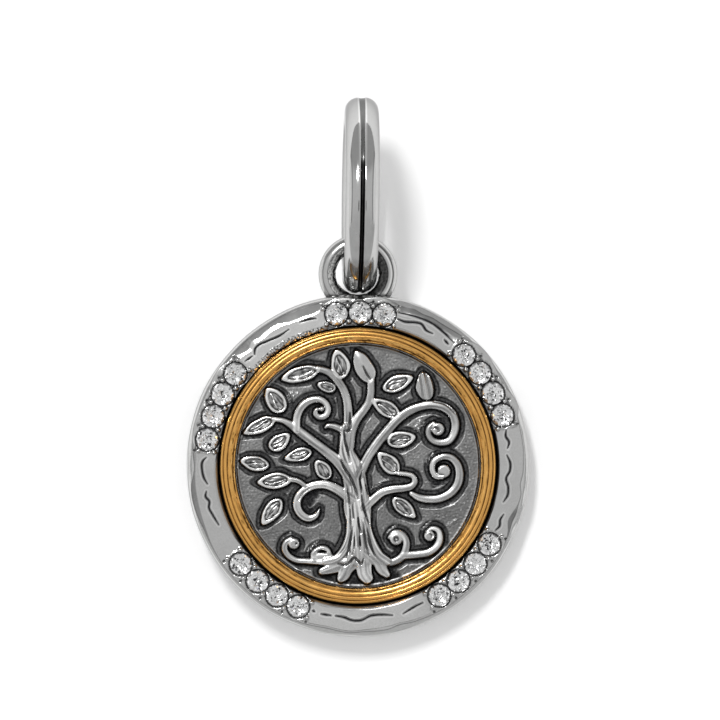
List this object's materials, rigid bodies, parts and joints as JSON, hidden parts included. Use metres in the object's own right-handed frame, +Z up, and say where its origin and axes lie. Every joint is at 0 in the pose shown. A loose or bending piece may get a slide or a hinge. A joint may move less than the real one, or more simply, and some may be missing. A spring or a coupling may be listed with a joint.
{
  "type": "tree of life pendant",
  "caption": "Round silver medallion with a raised tree, a gold ring and small clear stones, hung from a thick ring bail that slides on a chain.",
  "frame": {"origin": "inside top of the bail, where a chain carries it, with the pendant hanging below", "axes": "+Z up, the face to -Y, +X to the right of someone who looks at the face"},
  "size_m": [0.0254, 0.0144, 0.0399],
  "materials": {
    "polished_silver": "polished",
    "hammered_silver": "hammered and polished, dark in its lines",
    "oxidised_silver": "oxidised satin with bright relief",
    "gold": "polished gold plate",
    "crystal": "clear faceted"
  },
  "bodies": {
    "bail": {"bail": "polished_silver"},
    "medallion": {"frame": "hammered_silver", "gold_ring": "gold", "tree_plate": "oxidised_silver", "crystal_01": "crystal", "crystal_02": "crystal", "crystal_03": "crystal", "crystal_04": "crystal", "crystal_05": "crystal", "crystal_06": "crystal", "crystal_07": "crystal", "crystal_08": "crystal", "crystal_09": "crystal", "crystal_10": "crystal", "crystal_11": "crystal", "crystal_12": "crystal", "crystal_13": "crystal", "crystal_14": "crystal", "crystal_15": "crystal", "crystal_16": "crystal", "crystal_17": "crystal", "crystal_18": "crystal", "crystal_19": "crystal"}
  },
  "joints": [
    {"name": "pendant_swing", "type": "hinge", "parent": "bail", "child": "medallion", "pos_m": [0, 0, -0.01035], "axis": [0, 1, 0], "range_deg": [-90, 90]}
  ]
}
